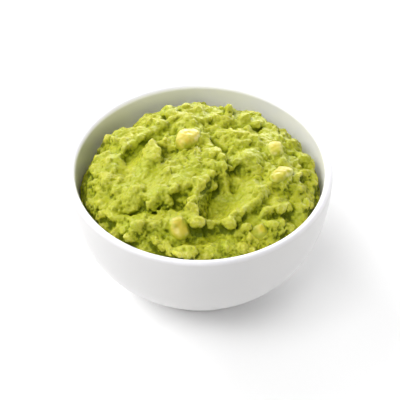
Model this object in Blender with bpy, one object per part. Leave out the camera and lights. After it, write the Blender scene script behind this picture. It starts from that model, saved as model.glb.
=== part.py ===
"""Guacamole heaped in a plain white dip bowl, with chunks of avocado bedded in it.

Run with: blender --background --python part.py

Lengths are written in millimetres and turned into metres by MM. +Z is up, and the origin is the
middle of the bowl's foot, on the table. The guacamole is a solid that follows the inside of the
bowl, and its top is a mound with dents, ridges and lumps, all added up in top_height().
"""

import math
import random

import bmesh
import bpy
import numpy as np

MM = 0.001

# Bowl: a turned piece with a rounded lip, a bellied wall and a low foot ring.
BOWL_HEIGHT = 59.0
RIM_RADIUS = 60.0
LIP_RADIUS = 1.82
FOOT_RADIUS = 37.0
FOOT_HEIGHT = 2.2
FOOT_WIDTH = 3.8
FOOT_EDGE = 0.5
RECESS_DEPTH = 1.9
FLOOR_TOP = 6.2
FLOOR_FLAT_RADIUS = 14.0
# Bezier handles of the outer wall: straight down from the lip, then leaning in to the foot.
OUTER_LIP_HANDLE = 36.0
OUTER_FOOT_HANDLE = 19.5
OUTER_FOOT_LEAN = math.radians(50.2)
# Bezier handles of the inner wall: straight down from the lip, then flat across the floor.
INNER_LIP_HANDLE = 34.0
INNER_FLOOR_HANDLE = 30.0
BOWL_SEGMENTS = 60
OUTER_ROWS = 10
INNER_ROWS = 9
LIP_ROWS = 7

# Guacamole: a mound that rises above the rim and rolls down to the wall.
HEAP_SEGMENTS = 88
GAP = 0.4
CROWN_HEIGHT = 63.2
SHOULDER_HEIGHT = 50.5
MOUND_RADIUS = 55.0
MOUND_POWER = 3.0
# Near the wall the mound falls away into a gutter, which is wider at the back.
GUTTER_DEPTH = 7.0
GUTTER_WIDTH = 6.0
BACK_GUTTER_DEPTH = 8.0
BACK_GUTTER_WIDTH = 10.5
EDGE_LOW = 41.0
EDGE_HIGH = 50.0
EDGE_RADIUS = 55.2
TOP_RINGS = 18
UNDERSIDE_TOP = 38.0

# Dents and lumps of the mound: centre x, centre y, half length, half width, turn in degrees,
# and height (negative for a dent).
MOUND_FEATURES = [
    # the long scoop left by a spoon, its slope up to the right, and the pocket behind it
    (6.0, -21.0, 12.0, 5.5, 64.0, -6.0),
    (14.0, -20.5, 13.0, 8.0, 46.0, -2.5),
    (16.0, -9.5, 6.5, 4.5, -50.0, -5.0),
    # the ridges round the scoop: between the two hollows, on the left, in front, on the right
    (11.3, -9.0, 8.5, 2.4, 98.0, 3.0),
    (1.0, -20.0, 11.0, 3.2, 72.0, 2.6),
    (7.0, -35.5, 9.0, 3.0, 0.0, 2.0),
    (24.0, -25.0, 10.0, 3.0, 42.0, 2.8),
    (20.0, -2.0, 8.0, 3.0, 10.0, 2.0),
    # smooth hollow behind the middle, and the ridge along its left side
    (9.0, 13.0, 8.0, 4.5, 115.0, -4.5),
    (4.5, 11.0, 10.0, 2.4, 108.0, 1.8),
    (2.5, 22.0, 4.0, 3.0, 60.0, 2.4),
    # curved groove round the tall peak on the left, and the ridge outside it
    (-33.0, 4.0, 8.0, 4.0, 75.0, -4.5),
    (-26.5, 14.5, 9.0, 3.6, 35.0, -5.0),
    (-15.0, 4.5, 6.0, 5.0, 0.0, -3.5),
    (-31.0, 17.5, 9.0, 3.0, 42.0, 2.4),
    # tall peak on the left, and the plateau that runs from it to the middle
    (-23.0, 1.0, 9.0, 4.0, 76.0, 4.8),
    (-12.0, -13.0, 17.0, 5.5, 26.0, 3.0),
    (-14.0, -25.0, 12.0, 4.5, 25.0, -4.5),
    (-31.0, -20.0, 7.0, 5.5, 15.0, 4.2),
    (-28.5, -27.5, 6.0, 2.8, 8.0, -5.0),
    # lumps on the left and the back, which make the uneven outline
    (-43.0, 1.0, 6.5, 6.0, 0.0, 3.4),
    (-43.0, 21.5, 3.4, 3.4, 0.0, 2.8),
    (-35.5, 24.5, 5.5, 4.0, 10.0, 2.6),
    (-22.5, 30.5, 3.6, 4.2, 0.0, 4.6),
    (-13.5, 35.5, 4.2, 4.2, 0.0, 3.4),
    (-3.5, 40.0, 6.5, 3.6, 0.0, 3.2),
    (5.0, 31.0, 7.0, 3.4, 35.0, 3.6),
    (13.5, 36.5, 2.8, 3.6, 0.0, 4.8),
    (22.0, 31.0, 4.6, 4.2, 0.0, 3.8),
    (27.0, 26.5, 3.2, 4.0, 0.0, 3.0),
    (43.0, 18.5, 4.2, 4.5, 0.0, 3.4),
    (48.0, 8.5, 3.8, 4.2, 0.0, 3.4),
    # lumps on the right and at the front
    (24.5, 3.0, 5.5, 4.5, 20.0, 2.6),
    (32.0, -25.0, 6.0, 3.2, 25.0, 3.2),
    (31.5, -35.5, 5.5, 3.4, 10.0, 3.0),
    (46.0, -14.0, 4.2, 6.0, -20.0, 3.0),
    (50.0, -1.5, 3.4, 4.0, 0.0, 2.6),
    (1.5, -39.0, 5.0, 4.0, 0.0, 4.0),
    (12.5, -38.5, 4.2, 4.0, 0.0, 4.2),
    (6.5, -43.0, 7.5, 2.6, 0.0, -4.0),
    (-16.5, -44.5, 5.0, 3.4, 20.0, 3.0),
    (-6.0, -48.5, 6.0, 3.0, 0.0, 2.6),
    (-23.0, -35.0, 5.5, 4.0, 40.0, 2.8),
    (-30.0, -41.0, 4.5, 3.6, 25.0, 2.8),
    (-40.0, -30.0, 4.5, 3.0, -40.0, -3.2),
    (-45.5, -14.0, 4.5, 5.0, 0.0, 2.8),
]

# Smaller lumps over the whole mound.
SMALL_LUMP_SEED = 5
SMALL_LUMP_COUNT = 180
SMALL_LUMP_RADIUS = (2.8, 4.8)
SMALL_LUMP_HEIGHT = (-2.0, 2.4)

# Avocado chunks: name, centre x, y and z, half length, half width, half height, turn, tilt.
CHUNKS = [
    ("avocado_chunk_back", (-5.0, 12.6, 63.4), (6.9, 4.6, 3.7), 60.0, 4.0),
    ("avocado_chunk_right", (36.2, -7.4, 59.2), (6.6, 3.8, 3.4), 50.0, 6.0),
    ("avocado_chunk_front", (-9.6, -38.4, 58.0), (5.6, 4.4, 3.8), 105.0, -20.0),
    ("avocado_chunk_far_right", (34.5, 9.2, 59.8), (5.0, 3.6, 3.0), 80.0, 6.0),
    ("avocado_chunk_near_right", (24.4, -38.0, 54.9), (4.8, 3.4, 3.0), 28.0, -10.0),
]
CHUNK_SQUARENESS = 2.7
CHUNK_TAPER = 0.16
CHUNK_COLUMNS = 12
CHUNK_ROWS = 8

# Base colour (linear), roughness, specular tint stays white, subsurface weight.
PORCELAIN = ((0.86, 0.86, 0.85, 1.0), 0.16, 0.0)
GUACAMOLE = ((0.42, 0.47, 0.035, 1.0), 0.38, 0.15)
AVOCADO = ((0.86, 0.74, 0.17, 1.0), 0.34, 0.15)


def clear_scene():
    """Remove the objects that the start-up file holds."""
    for thing in list(bpy.data.objects):
        bpy.data.objects.remove(thing, do_unlink=True)


def make_material(name, colour, roughness, subsurface):
    """A Principled material of one colour."""
    material = bpy.data.materials.new(name)
    material.use_nodes = True
    shader = material.node_tree.nodes["Principled BSDF"]
    shader.inputs["Base Color"].default_value = colour
    shader.inputs["Roughness"].default_value = roughness
    shader.inputs["Metallic"].default_value = 0.0
    shader.inputs["Subsurface Weight"].default_value = subsurface
    shader.inputs["Subsurface Scale"].default_value = MM
    return material


def add_object(name, mesh, material):
    """Link a mesh as a smooth-shaded object with its material."""
    mesh.shade_smooth()
    mesh.set_sharp_from_angle(angle=math.radians(50))
    thing = bpy.data.objects.new(name, mesh)
    bpy.context.scene.collection.objects.link(thing)
    if material:
        mesh.materials.append(material)
    return thing


def bezier(start, start_handle, end_handle, end, count):
    """Points along a cubic Bezier curve, both ends included."""
    points = np.array([start, start_handle, end_handle, end])
    t = np.linspace(0.0, 1.0, count)[:, None]
    weights = np.hstack([(1 - t) ** 3, 3 * t * (1 - t) ** 2, 3 * t**2 * (1 - t), t**3])
    return weights @ points


def arc(centre, radius, start, end, count):
    """Points along an arc in the profile plane, from one angle in degrees to another."""
    angles = np.radians(np.linspace(start, end, count))
    return np.column_stack([centre[0] + radius * np.cos(angles), centre[1] + radius * np.sin(angles)])


def offset_curve(points, distance):
    """The curve moved sideways, to the left of its direction."""
    along = np.gradient(points, axis=0)
    along /= np.linalg.norm(along, axis=1)[:, None]
    return points + distance * np.column_stack([-along[:, 1], along[:, 0]])


def outer_wall():
    """The outer side of the bowl, from the lip down to the foot ring."""
    lip = (RIM_RADIUS, BOWL_HEIGHT - LIP_RADIUS)
    foot = (FOOT_RADIUS, FOOT_HEIGHT)
    handle = (
        foot[0] + OUTER_FOOT_HANDLE * math.cos(OUTER_FOOT_LEAN),
        foot[1] + OUTER_FOOT_HANDLE * math.sin(OUTER_FOOT_LEAN),
    )
    return bezier(lip, (lip[0], lip[1] - OUTER_LIP_HANDLE), handle, foot, OUTER_ROWS)


def inner_wall(count):
    """The inner side of the bowl, from the flat of its floor up to the lip."""
    floor = (FLOOR_FLAT_RADIUS, FLOOR_TOP)
    lip = (RIM_RADIUS - 2 * LIP_RADIUS, BOWL_HEIGHT - LIP_RADIUS)
    floor_handle = (floor[0] + INNER_FLOOR_HANDLE, floor[1])
    lip_handle = (lip[0], lip[1] - INNER_LIP_HANDLE)
    return bezier(floor, floor_handle, lip_handle, lip, count)


def turn_profile(profile):
    """A closed body turned round the Z axis from a profile that starts and ends on the axis."""
    build = bmesh.new()
    points = [build.verts.new((radius * MM, 0.0, height * MM)) for radius, height in profile]
    edges = [build.edges.new(pair) for pair in zip(points, points[1:])]
    bmesh.ops.spin(
        build,
        geom=points + edges,
        cent=(0.0, 0.0, 0.0),
        axis=(0.0, 0.0, 1.0),
        angle=2 * math.pi,
        steps=BOWL_SEGMENTS,
    )
    bmesh.ops.remove_doubles(build, verts=build.verts, dist=0.01 * MM)
    bmesh.ops.recalc_face_normals(build, faces=build.faces)
    return build


def make_bowl(material):
    """The bowl: underside, foot ring, outer wall, rounded lip, inner wall and floor."""
    foot_inside = FOOT_RADIUS - FOOT_WIDTH
    lip_centre = (RIM_RADIUS - LIP_RADIUS, BOWL_HEIGHT - LIP_RADIUS)
    inner_edge = (foot_inside + FOOT_EDGE, FOOT_EDGE)
    outer_edge = (FOOT_RADIUS - FOOT_EDGE, FOOT_EDGE)
    profile = np.vstack([
        [(0.0, RECESS_DEPTH), (foot_inside - FOOT_EDGE, RECESS_DEPTH)],
        arc(inner_edge, FOOT_EDGE, 180, 270, 3),
        arc(outer_edge, FOOT_EDGE, -90, 0, 3),
        outer_wall()[::-1],
        arc(lip_centre, LIP_RADIUS, 0, 180, LIP_ROWS)[1:-1],
        inner_wall(INNER_ROWS)[::-1],
        [(0.0, FLOOR_TOP)],
    ])
    build = turn_profile(profile)
    mesh = bpy.data.meshes.new("bowl")
    build.to_mesh(mesh)
    build.free()
    return add_object("bowl", mesh, material)


def small_lumps():
    """Seeded small lumps and dents, in the same form as MOUND_FEATURES."""
    chance = random.Random(SMALL_LUMP_SEED)
    lumps = []
    for _ in range(SMALL_LUMP_COUNT):
        reach = MOUND_RADIUS * math.sqrt(chance.random())
        angle = chance.uniform(0.0, 2 * math.pi)
        length = chance.uniform(*SMALL_LUMP_RADIUS)
        width = chance.uniform(*SMALL_LUMP_RADIUS)
        height = chance.uniform(*SMALL_LUMP_HEIGHT)
        place = (reach * math.cos(angle), reach * math.sin(angle))
        lumps.append((*place, length, width, math.degrees(angle), height))
    return lumps


def smooth_step(value):
    """Rise smoothly from 0 to 1 as the value goes from 0 to 1."""
    value = np.clip(value, 0.0, 1.0)
    return value * value * (3.0 - 2.0 * value)


def top_height(x, y, features):
    """Height of the guacamole's top above the table."""
    radius = np.hypot(x, y)
    spread = np.clip(radius / MOUND_RADIUS, 0.0, 1.0) ** MOUND_POWER
    height = CROWN_HEIGHT + (SHOULDER_HEIGHT - CROWN_HEIGHT) * spread
    back = smooth_step(y / np.maximum(radius, 1.0))
    depth = GUTTER_DEPTH + (BACK_GUTTER_DEPTH - GUTTER_DEPTH) * back
    width = GUTTER_WIDTH + (BACK_GUTTER_WIDTH - GUTTER_WIDTH) * back
    height = height - depth * smooth_step((radius - MOUND_RADIUS + width) / width) ** 1.5
    for centre_x, centre_y, half_length, half_width, turn, rise in features:
        turn = math.radians(turn)
        along = (x - centre_x) * math.cos(turn) + (y - centre_y) * math.sin(turn)
        across = (y - centre_y) * math.cos(turn) - (x - centre_x) * math.sin(turn)
        distance = np.sqrt((along / half_length) ** 2 + (across / half_width) ** 2)
        height = height + rise * np.exp(-(distance**2.6))
    return height


def underside_ring_points():
    """Radius and height of the rings of the guacamole's underside, bottom to top."""
    curve = offset_curve(inner_wall(INNER_ROWS), GAP)
    return curve[curve[:, 1] < UNDERSIDE_TOP]


def wall_radius(height):
    """How far the guacamole may reach at a height without touching the bowl."""
    curve = offset_curve(inner_wall(61), GAP)
    return np.interp(height, curve[:, 1], curve[:, 0])


def make_guacamole(material):
    """The heap: rings of its underside along the bowl, then rings of its uneven top."""
    features = MOUND_FEATURES + small_lumps()
    angles = np.arange(HEAP_SEGMENTS) * 2 * math.pi / HEAP_SEGMENTS
    turn = np.column_stack([np.cos(angles), np.sin(angles)])
    rings = []
    for radius, height in underside_ring_points():
        rings.append(np.column_stack([radius * turn, np.full(HEAP_SEGMENTS, height)]))
    edge = top_height(*(EDGE_RADIUS * turn).T, features)
    edge = np.clip(edge, EDGE_LOW, EDGE_HIGH)
    reach = wall_radius(edge)
    rings.append(np.column_stack([reach[:, None] * turn, edge]))
    for ring in range(TOP_RINGS - 1, 0, -1):
        place = (ring / TOP_RINGS) * reach[:, None] * turn
        rings.append(np.column_stack([place, top_height(*place.T, features)]))

    build = bmesh.new()
    loops = [[build.verts.new(point * MM) for point in ring] for ring in rings]
    for lower, upper in zip(loops, loops[1:]):
        for here in range(HEAP_SEGMENTS):
            there = (here + 1) % HEAP_SEGMENTS
            build.faces.new((lower[here], lower[there], upper[there], upper[here]))
    bottom = build.verts.new((0.0, 0.0, (FLOOR_TOP + GAP) * MM))
    top = build.verts.new((0.0, 0.0, float(top_height(0.0, 0.0, features)) * MM))
    for here in range(HEAP_SEGMENTS):
        there = (here + 1) % HEAP_SEGMENTS
        build.faces.new((bottom, loops[0][there], loops[0][here]))
        build.faces.new((top, loops[-1][here], loops[-1][there]))
    bmesh.ops.triangulate(build, faces=build.faces)
    mesh = bpy.data.meshes.new("guacamole")
    build.to_mesh(mesh)
    build.free()
    return add_object("guacamole", mesh, material)


def make_chunk(name, centre, half_sizes, turn, tilt, grow, material):
    """A rounded block, thinner at one end. grow swells it evenly, for the pocket it lies in."""
    build = bmesh.new()
    bmesh.ops.create_uvsphere(build, u_segments=CHUNK_COLUMNS, v_segments=CHUNK_ROWS, radius=1.0)
    for vert in build.verts:
        power = CHUNK_SQUARENESS
        spread = sum(abs(value) ** power for value in vert.co) ** (-1.0 / power)
        slim = 1.0 - CHUNK_TAPER * vert.co.x
        vert.co.x *= spread * (half_sizes[0] + grow) * MM
        vert.co.y *= spread * slim * (half_sizes[1] + grow) * MM
        vert.co.z *= spread * slim * (half_sizes[2] + grow) * MM
    mesh = bpy.data.meshes.new(name)
    build.to_mesh(mesh)
    build.free()
    chunk = add_object(name, mesh, material)
    chunk.location = [value * MM for value in centre]
    chunk.rotation_euler = (0.0, math.radians(tilt), math.radians(turn))
    return chunk


def bed_chunk(guacamole, name, centre, half_sizes, turn, tilt):
    """Cut the pocket of one chunk out of the guacamole."""
    cutter = make_chunk(name + "_pocket", centre, half_sizes, turn, tilt, GAP, None)
    cutter.hide_render = True
    cutter.display_type = "WIRE"
    cut = guacamole.modifiers.new(name + "_pocket", "BOOLEAN")
    cut.operation = "DIFFERENCE"
    cut.solver = "EXACT"
    cut.object = cutter


def main():
    """Build the bowl, the guacamole and its chunks."""
    clear_scene()
    avocado = make_material("avocado", *AVOCADO)
    make_bowl(make_material("porcelain", *PORCELAIN))
    guacamole = make_guacamole(make_material("guacamole", *GUACAMOLE))
    for name, centre, half_sizes, turn, tilt in CHUNKS:
        make_chunk(name, centre, half_sizes, turn, tilt, 0.0, avocado)
        bed_chunk(guacamole, name, centre, half_sizes, turn, tilt)


main()
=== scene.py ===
"""The looks of the bowl of guacamole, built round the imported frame.

The heap is sculpted in numpy: a height map of the mound with spoon marks, ridges and lumps is turned
into a 3-D field, lumps of mash are melted into it, and the surface of the field becomes the mesh.
Lengths in the sculpting code are in millimetres; MM turns them into Blender's metres.
+X is right, +Y is the back and +Z is up, as in the frame.
"""

import math

import bmesh
import bpy
import numpy as np
from mathutils import Euler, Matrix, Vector


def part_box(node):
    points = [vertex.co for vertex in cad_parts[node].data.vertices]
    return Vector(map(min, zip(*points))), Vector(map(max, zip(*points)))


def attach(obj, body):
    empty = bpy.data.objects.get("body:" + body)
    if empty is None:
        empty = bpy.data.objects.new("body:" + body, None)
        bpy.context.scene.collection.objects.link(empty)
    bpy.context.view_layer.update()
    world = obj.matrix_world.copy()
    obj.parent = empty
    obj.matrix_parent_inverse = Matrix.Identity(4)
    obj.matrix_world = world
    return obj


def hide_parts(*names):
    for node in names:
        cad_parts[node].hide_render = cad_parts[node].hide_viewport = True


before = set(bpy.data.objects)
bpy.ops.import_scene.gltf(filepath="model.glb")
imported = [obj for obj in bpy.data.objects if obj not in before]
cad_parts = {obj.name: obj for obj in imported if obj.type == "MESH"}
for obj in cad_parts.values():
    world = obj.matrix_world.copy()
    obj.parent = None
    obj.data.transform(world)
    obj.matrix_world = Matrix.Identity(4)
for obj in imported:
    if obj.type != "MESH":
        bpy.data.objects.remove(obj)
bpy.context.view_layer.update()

MM = 0.001

# Sizes that the frame gives, in millimetres.
BOWL_HIGH = np.array(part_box("bowl")[1]) / MM
RIM_RADIUS = float(BOWL_HIGH[0])
RIM_HEIGHT = float(BOWL_HIGH[2])

# The rest of the bowl's outline, the same as in the CAD part. A handle is how far a curve's end is pulled.
LIP_RADIUS = 1.82
FLOOR_TOP = 6.2
FLOOR_FLAT_RADIUS = 14.0
INNER_LIP_HANDLE = 34.0
INNER_FLOOR_HANDLE = 30.0
FOOT_RADIUS = 37.0
FOOT_HEIGHT = 2.2
FOOT_WIDTH = 3.8
FOOT_EDGE = 0.5
RECESS_DEPTH = 1.9
RECESS_ROUND = 1.0
OUTER_LIP_HANDLE = 36.0
OUTER_FOOT_HANDLE = 19.5
OUTER_FOOT_LEAN = 50.2

# How finely the bowl is turned, and in how many rows the painted-shade outside turns to the painted-light
# inside.
BOWL_SEGMENTS = 224
WALL_ROWS = 61
OUTER_ROWS = 49
LIP_ROWS = 19
PAINTED_LIGHT_ROWS = 9

STEP = 0.4
FIELD_BOTTOM = 40.5
FIELD_TOP = 70.0
FIELD_MARGIN = 1.5

# A piece may have no more than 200,000 triangles, so the heap's mesh is thinned to this.
MOST_TRIANGLES = 190000

# The mound as a whole, and the heights of the rings that close it underneath.
WALL_GAP = 0.4
CROWN_HEIGHT = 63.0
SHOULDER_HEIGHT = 50.5
MOUND_RADIUS = 55.0
MOUND_POWER = 3.0
GUTTER_DEPTH = 5.5
GUTTER_WIDTH = 4.5
BACK_GUTTER_DEPTH = 8.0
BACK_GUTTER_WIDTH = 10.5
GUTTER_POWER = 1.5
UNDERSIDE_HEIGHTS = (36.0, 29.0, 22.0, 15.0, 10.0, 7.5, FLOOR_TOP + WALL_GAP)

# Unevenness of the height map: how far its features and its curds are bent, how high its swells are, the
# height and spacing of the large and the small curds, the level of a curd that leaves the ground as it is,
# how sharp and how deep the creases between curds are, and how often the ground is smoothed.
FEATURE_BEND = 0.8
CURD_BEND = 1.6
SWELL = 0.5
LARGE_CURDS = (3.2, 5.6)
SMALL_CURDS = (1.8, 3.1)
CURD_MIDDLE = 0.86
CURD_EDGE = 5.0
CURD_FLOOR = 0.3
GROUND_PASSES = 5

# Melting in: the width of the seam for chunks, lumps and beads, the distance and spacing of the bends in
# their shapes, how much of that bend each kind takes, their powers (2 is an ellipsoid, more is squarer),
# and how many beads are tried and how far out they lie.
LUMP_BEND = (0.6, 2.6)
CHUNK_SEAM = 2.4
LUMP_SEAM = 2.0
BEAD_SEAM = 1.4
CHUNK_WARP = 0.85
LUMP_WARP = 0.2
BEAD_WARP = 0.15
ROUND = 2.0
CHUNK_POWER = 2.6
BEAD_COUNT = 640
BEAD_REACH = 53.0

# How much of the large curds, the small curds and the grain is left in a smooth place.
SMOOTH_LARGE = 0.08
SMOOTH_SMALL = 0.12
SMOOTH_GRAIN = 0.35

# Grain of the surface: height and spacing of its puffs, its swells and its grit.
PUFF_GRAIN = (0.5, 2.2)
SWELL_GRAIN = (0.25, 1.5)
GRIT_GRAIN = (0.32, 0.7)

# Seeds of the random draws.
LUMP_SEED = 21
BEND_SEEDS = (51, 52, 53)
GRIT_SEED = 6
PUFF_SEED = 5
GRAIN_SEED = 8
CURD_BEND_SEEDS = (31, 32)
PATCH_SEED = 33
FEATURE_BEND_SEEDS = (34, 35)
SWELL_SEED = 11
LARGE_CURD_SEED = 41
SMALL_CURD_SEED = 42


# ---------------------------------------------------------------- the heap's sculpting tools

def smooth_step(value):
    """Rise smoothly from 0 to 1 as the value goes from 0 to 1."""
    value = np.clip(value, 0.0, 1.0)
    return value * value * (3.0 - 2.0 * value)


def bezier(start, start_handle, end_handle, end, count):
    """Points along a cubic Bezier curve, both ends included."""
    points = np.array([start, start_handle, end_handle, end])
    t = np.linspace(0.0, 1.0, count)[:, None]
    weights = np.hstack([(1 - t) ** 3, 3 * t * (1 - t) ** 2, 3 * t**2 * (1 - t), t**3])
    return weights @ points


def inner_wall(count):
    """Radius and height of the bowl's inner side, from the flat of its floor up to the lip."""
    floor = (FLOOR_FLAT_RADIUS, FLOOR_TOP)
    lip = (RIM_RADIUS - 2 * LIP_RADIUS, RIM_HEIGHT - LIP_RADIUS)
    floor_handle = (floor[0] + INNER_FLOOR_HANDLE, floor[1])
    return bezier(floor, floor_handle, (lip[0], lip[1] - INNER_LIP_HANDLE), lip, count)


WALL = inner_wall(WALL_ROWS)


def wall_radius(height):
    """How far the guacamole reaches at a height without touching the bowl."""
    return np.interp(height, WALL[:, 1], WALL[:, 0]) - WALL_GAP


def smooth_curve(points):
    """A smooth curve through the given points, as a polyline with six pieces from one to the next."""
    points = np.array(points, dtype=float)
    padded = np.vstack([2 * points[0] - points[1], points, 2 * points[-1] - points[-2]])
    curve = []
    for before, start, end, after in zip(padded, padded[1:], padded[2:], padded[3:]):
        for t in np.arange(6) / 6:
            curve.append(0.5 * (
                2 * start + (end - before) * t
                + (2 * before - 5 * start + 4 * end - after) * t**2
                + (3 * start - before - 3 * end + after) * t**3
            ))
    curve.append(points[-1])
    return np.array(curve)


def beside_curve(x, y, points):
    """Distance from a curve, positive on its right, and a weight that fades at its ends."""
    curve = smooth_curve(points)
    nearest = np.full(x.shape, 1e6)
    side = np.ones(x.shape)
    along = np.zeros(x.shape)
    fade = 0.16
    pieces = len(curve) - 1
    for index in range(pieces):
        start, step = curve[index], curve[index + 1] - curve[index]
        t = ((x - start[0]) * step[0] + (y - start[1]) * step[1]) / (step @ step)
        t = np.clip(t, 0.0, 1.0)
        gap_x = x - start[0] - t * step[0]
        gap_y = y - start[1] - t * step[1]
        distance = np.hypot(gap_x, gap_y)
        closer = distance < nearest
        nearest = np.where(closer, distance, nearest)
        on_right = gap_x * step[1] - gap_y * step[0] > 0
        side = np.where(closer, np.where(on_right, 1.0, -1.0), side)
        along = np.where(closer, (index + t) / pieces, along)
    ends = smooth_step(along / fade) * smooth_step((1.0 - along) / fade)
    return nearest * side, 0.15 + 0.85 * ends


def near(x, y, points, reach):
    """The grid points in the box round some points, as a boolean array."""
    points = np.array(points)
    low, high = points.min(axis=0) - reach, points.max(axis=0) + reach
    return (x > low[0]) & (x < high[0]) & (y > low[1]) & (y < high[1])


def add_fold(x, y, height, points, rise, back, drop, steep, reach):
    """Raise a crest along a curve, gentle on its left; on its right the ground drops and comes back up."""
    spot = near(x, y, points, 2.2 * back + steep + reach)
    distance, weight = beside_curve(x[spot], y[spot], points)
    gentle = rise * np.exp(-(np.abs(distance) / back) ** 1.7)
    fall = rise - (rise + drop) * smooth_step(distance / steep)
    fall *= 1.0 - smooth_step((distance - steep) / reach)
    height[spot] += weight * np.where(distance > 0, fall, gentle)


def ellipse_distance(x, y, centre_x, centre_y, half_length, half_width, turn):
    """1 on the outline of a turned ellipse, less inside it and more outside."""
    turn = math.radians(turn)
    along = (x - centre_x) * math.cos(turn) + (y - centre_y) * math.sin(turn)
    across = (y - centre_y) * math.cos(turn) - (x - centre_x) * math.sin(turn)
    return np.sqrt((along / half_length) ** 2 + (across / half_width) ** 2)


def resample_matrix(count, cells):
    """Cubic B-spline weights that turn cells + 3 lattice values into count samples."""
    places = np.linspace(0.0, cells, count, endpoint=False)
    cell = np.floor(places).astype(int)
    t = places - cell
    weights = np.zeros((count, cells + 3))
    row = np.arange(count)
    weights[row, cell] = (1 - t) ** 3 / 6
    weights[row, cell + 1] = (3 * t**3 - 6 * t**2 + 4) / 6
    weights[row, cell + 2] = (-3 * t**3 + 3 * t**2 + 3 * t + 1) / 6
    weights[row, cell + 3] = t**3 / 6
    return weights.astype(np.float32)


def cloud(shape, spacing, seed):
    """Smooth noise on the grid, about -1 to 1, with lumps about twice the spacing across."""
    cells = [max(1, int(round(size * STEP / spacing))) for size in shape]
    lattice = np.random.default_rng(seed).uniform(-1.0, 1.0, [count + 3 for count in cells])
    noise = lattice.astype(np.float32)
    for size, count in zip(shape, cells):
        noise = np.tensordot(noise, resample_matrix(size, count), axes=(0, 1))
    return noise * (1.9 if len(shape) == 2 else 2.4)


def averaged(grid, axis):
    """A grid averaged with its neighbours along one axis, its two ends left as they are."""
    moved = np.moveaxis(grid, axis, 0)
    soft = moved.copy()
    soft[1:-1] = 0.5 * moved[1:-1] + 0.25 * (moved[:-2] + moved[2:])
    return np.moveaxis(soft, 0, axis)


def blurred(grid, passes):
    """A 2-D grid smoothed by repeated averaging with its neighbours."""
    for _ in range(passes):
        grid = averaged(averaged(grid, 0), 1)
    return grid


def puffs(shape, spacing, seed):
    """Puffy lumps with creases between them on the grid, 0 in the creases and up to about 1."""
    product = cloud(shape, spacing, seed) * cloud(shape, spacing, seed + 100)
    return (product**2 + 0.006) ** 0.3


def curds(x, y, spacing, seed):
    """Rounded cells with creases between them: 0.3 in the deepest creases, about 1 on the tops."""
    chance = np.random.default_rng(seed)
    count = int(2 * MOUND_RADIUS / spacing) + 1
    total = np.full(x.shape, 1e-6)
    for column in range(count):
        for row in range(count):
            centre_x = (column + chance.uniform(-0.1, 1.1)) * spacing - MOUND_RADIUS
            centre_y = (row + chance.uniform(-0.1, 1.1)) * spacing - MOUND_RADIUS
            size = spacing * chance.uniform(0.65, 1.15)
            stretch = chance.uniform(0.8, 1.25)
            turn = chance.uniform(0.0, 180.0)
            spot = near(x, y, [(centre_x, centre_y)], 1.6 * spacing)
            half_length, half_width = size * stretch, size / stretch
            distance = ellipse_distance(x[spot], y[spot], centre_x, centre_y, half_length, half_width, turn)
            total[spot] += np.exp(-CURD_EDGE * distance**2)
    return np.clip(1.0 + np.log(total) / CURD_EDGE, CURD_FLOOR, None)


# ---------------------------------------------------------------- the heap's features

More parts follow.
